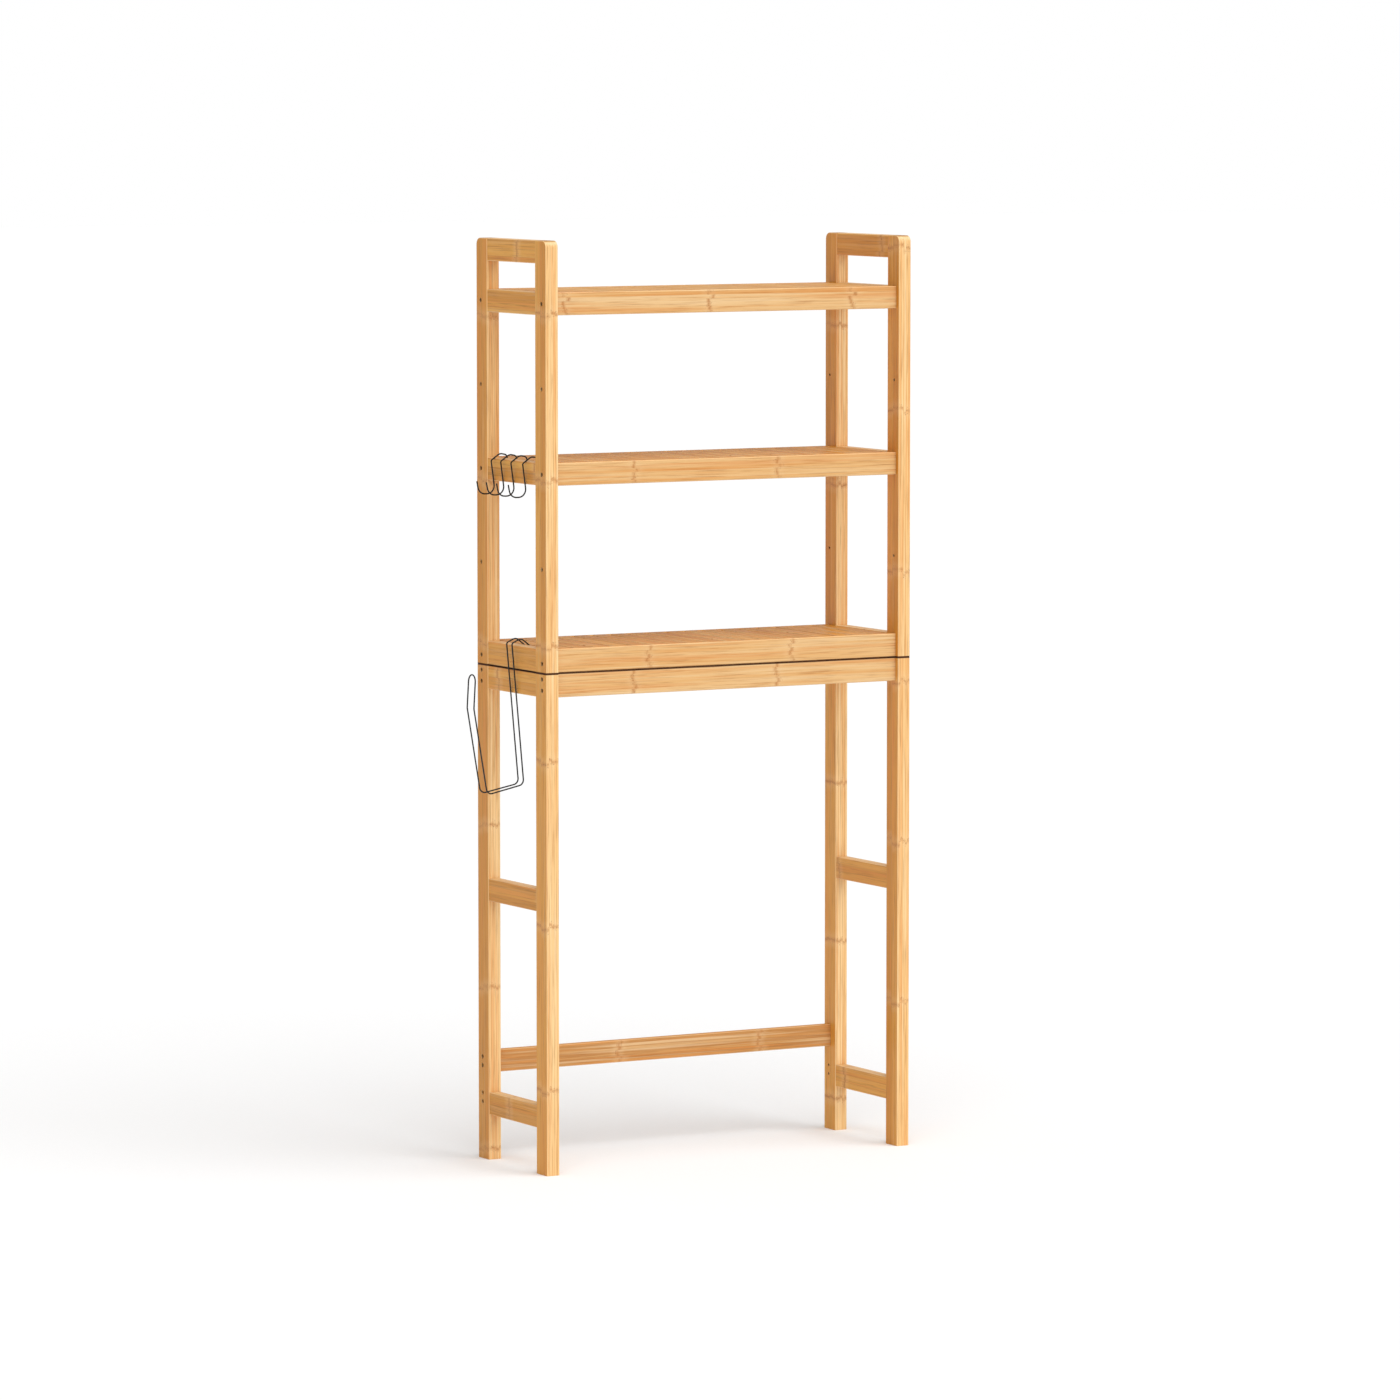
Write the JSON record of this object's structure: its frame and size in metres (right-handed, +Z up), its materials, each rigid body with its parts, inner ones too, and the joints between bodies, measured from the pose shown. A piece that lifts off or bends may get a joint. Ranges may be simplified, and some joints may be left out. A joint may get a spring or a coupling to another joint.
{
  "type": "over the toilet storage rack",
  "caption": "Freestanding bamboo storage rack that stands over a toilet, with slatted shelves above an open bay, wire hooks and a wire toilet roll holder on one side.",
  "frame": {"origin": "on the floor, at the centre of the footprint of the four feet", "axes": "+Z up, +Y towards the back, where the stretcher is, and +X to the right of someone facing the rack; the hooks and roll holder hang on the -X side"},
  "size_m": [0.8272, 0.26, 1.64],
  "materials": {
    "bamboo": "clear satin lacquer on laminated bamboo",
    "dowel_wood": "plain turned beech",
    "dark_screw": "black zinc, semi-gloss",
    "hook_wire": "dark grey coated steel wire, semi-gloss",
    "holder_wire": "grey metallic coated steel wire, semi-gloss"
  },
  "bodies": {
    "rack": {"handle_rail_left": "bamboo", "handle_rail_right": "bamboo", "leg_back_left": "bamboo", "leg_back_right": "bamboo", "leg_front_left": "bamboo", "leg_front_right": "bamboo", "lower_back_beam": "bamboo", "lower_beam_screws": "dark_screw", "lower_bottom_rail_left": "bamboo", "lower_bottom_rail_right": "bamboo", "lower_front_beam": "bamboo", "lower_left_frame_dowels": "dowel_wood", "lower_middle_rail_left": "bamboo", "lower_middle_rail_right": "bamboo", "lower_right_frame_dowels": "dowel_wood", "lower_top_rail_left": "bamboo", "lower_top_rail_right": "bamboo", "lowest_shelf_back_beam": "bamboo", "lowest_shelf_front_beam": "bamboo", "lowest_shelf_rail_left": "bamboo", "lowest_shelf_rail_right": "bamboo", "lowest_shelf_screws": "dark_screw", "lowest_shelf_slats": "bamboo", "middle_shelf_back_beam": "bamboo", "middle_shelf_front_beam": "bamboo", "middle_shelf_rail_left": "bamboo", "middle_shelf_rail_right": "bamboo", "middle_shelf_screws": "dark_screw", "middle_shelf_slats": "bamboo", "rear_stretcher": "bamboo", "seam_pins": "dowel_wood", "stretcher_screws": "dark_screw", "top_shelf_back_beam": "bamboo", "top_shelf_front_beam": "bamboo", "top_shelf_rail_left": "bamboo", "top_shelf_rail_right": "bamboo", "top_shelf_screws": "dark_screw", "top_shelf_slats": "bamboo", "upper_left_frame_dowels": "dowel_wood", "upper_post_back_left": "bamboo", "upper_post_back_right": "bamboo", "upper_post_front_left": "bamboo", "upper_post_front_right": "bamboo", "upper_right_frame_dowels": "dowel_wood"},
    "s_hook_1": {"s_hook_1": "hook_wire"},
    "s_hook_2": {"s_hook_2": "hook_wire"},
    "s_hook_3": {"s_hook_3": "hook_wire"},
    "s_hook_4": {"s_hook_4": "hook_wire"},
    "roll_holder": {"roll_holder": "holder_wire"}
  },
  "joints": [
    {"name": "s_hook_1_slide", "type": "slide", "parent": "rack", "child": "s_hook_1", "axis": [0, 1, 0], "range_m": [-0.0155, 0.0225]},
    {"name": "s_hook_2_slide", "type": "slide", "parent": "rack", "child": "s_hook_2", "axis": [0, 1, 0], "range_m": [-0.017, 0.0155]},
    {"name": "s_hook_3_slide", "type": "slide", "parent": "rack", "child": "s_hook_3", "axis": [0, 1, 0], "range_m": [-0.0195, 0.017]},
    {"name": "s_hook_4_slide", "type": "slide", "parent": "rack", "child": "s_hook_4", "axis": [0, 1, 0], "range_m": [-0.033, 0.0195]},
    {"name": "roll_holder_slide", "type": "slide", "parent": "rack", "child": "roll_holder", "axis": [0, 1, 0], "range_m": [-0.066, 0.084]}
  ]
}
